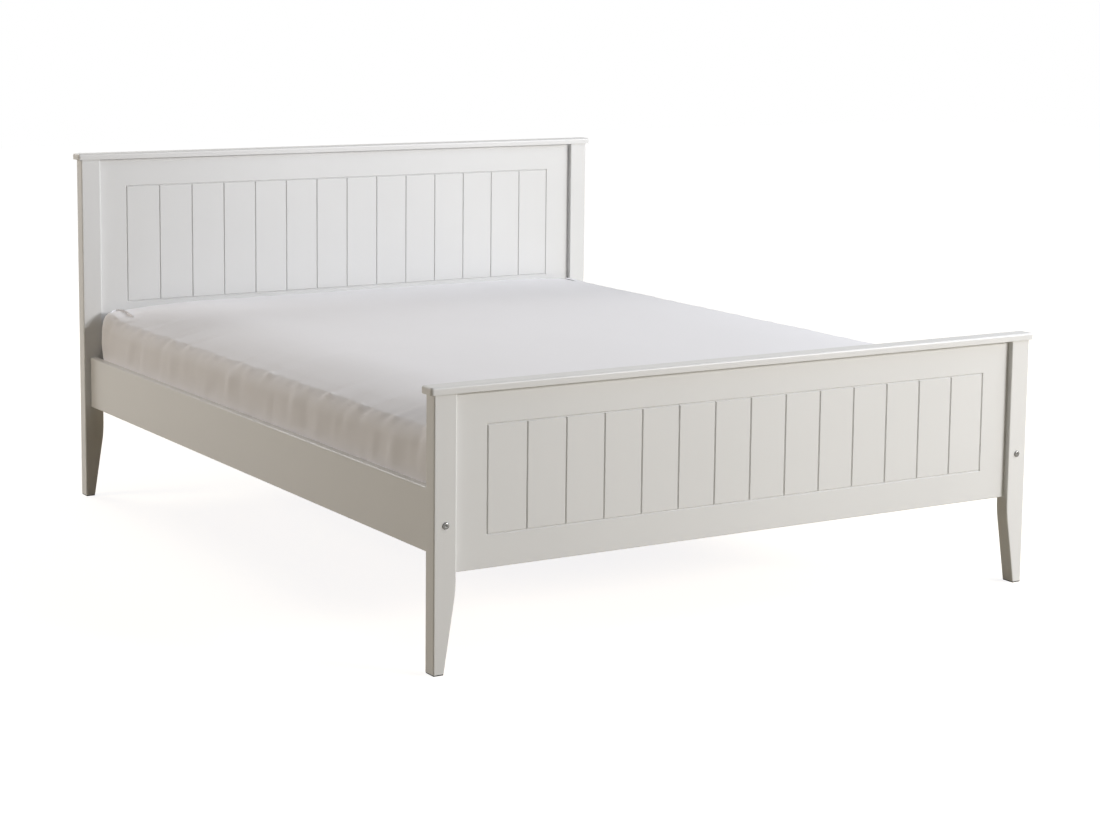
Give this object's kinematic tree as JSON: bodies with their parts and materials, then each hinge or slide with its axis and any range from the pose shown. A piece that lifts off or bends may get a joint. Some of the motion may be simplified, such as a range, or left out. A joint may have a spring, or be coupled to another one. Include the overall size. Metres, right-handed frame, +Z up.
{
  "type": "wooden double bed",
  "caption": "Wooden double bed with tapered posts, V-grooved head and foot panels under rounded caps, bolted side rails, slats on a centre beam, and a mattress in a fitted sheet.",
  "frame": {"origin": "on the floor, under the middle of the bed", "axes": "+X to the right seen from the foot end, +Y from foot to head, +Z up"},
  "size_m": [1.706, 2.11, 0.985],
  "materials": {
    "painted_wood": "satin white paint",
    "bare_pine": "planed, unpainted",
    "zinc_steel": "bright zinc plate",
    "dark_plastic": "moulded",
    "webbing": "woven tape",
    "foam": "foam core in a knitted cover",
    "cotton": "plain weave"
  },
  "bodies": {
    "frame": {"head_post_left": "painted_wood", "head_post_right": "painted_wood", "head_panel": "painted_wood", "head_cap": "painted_wood", "foot_post_left": "painted_wood", "foot_post_right": "painted_wood", "foot_panel": "painted_wood", "foot_cap": "painted_wood", "side_rail_left": "painted_wood", "side_rail_right": "painted_wood", "head_cap_tongue": "bare_pine", "foot_cap_tongue": "bare_pine", "head_beam_cleat": "bare_pine", "foot_beam_cleat": "bare_pine", "slat_ledge_left": "bare_pine", "slat_ledge_right": "bare_pine", "centre_beam": "bare_pine", "centre_leg": "bare_pine", "slat_01": "bare_pine", "slat_02": "bare_pine", "slat_03": "bare_pine", "slat_04": "bare_pine", "slat_05": "bare_pine", "slat_06": "bare_pine", "slat_07": "bare_pine", "slat_08": "bare_pine", "slat_09": "bare_pine", "slat_10": "bare_pine", "slat_11": "bare_pine", "slat_12": "bare_pine", "slat_13": "bare_pine", "slat_14": "bare_pine", "slat_15": "bare_pine", "rail_bolts": "zinc_steel", "barrel_nuts": "zinc_steel", "centre_leg_stud": "zinc_steel", "leg_glides": "dark_plastic", "centre_leg_foot": "dark_plastic", "slat_strap_left": "webbing", "slat_strap_right": "webbing"},
    "mattress": {"mattress": "foam", "fitted_sheet": "cotton"}
  },
  "joints": [
    {"name": "mattress_lift", "type": "slide", "parent": "frame", "child": "mattress", "axis": [0, 0, 1], "range_m": [0, 0.35]}
  ]
}
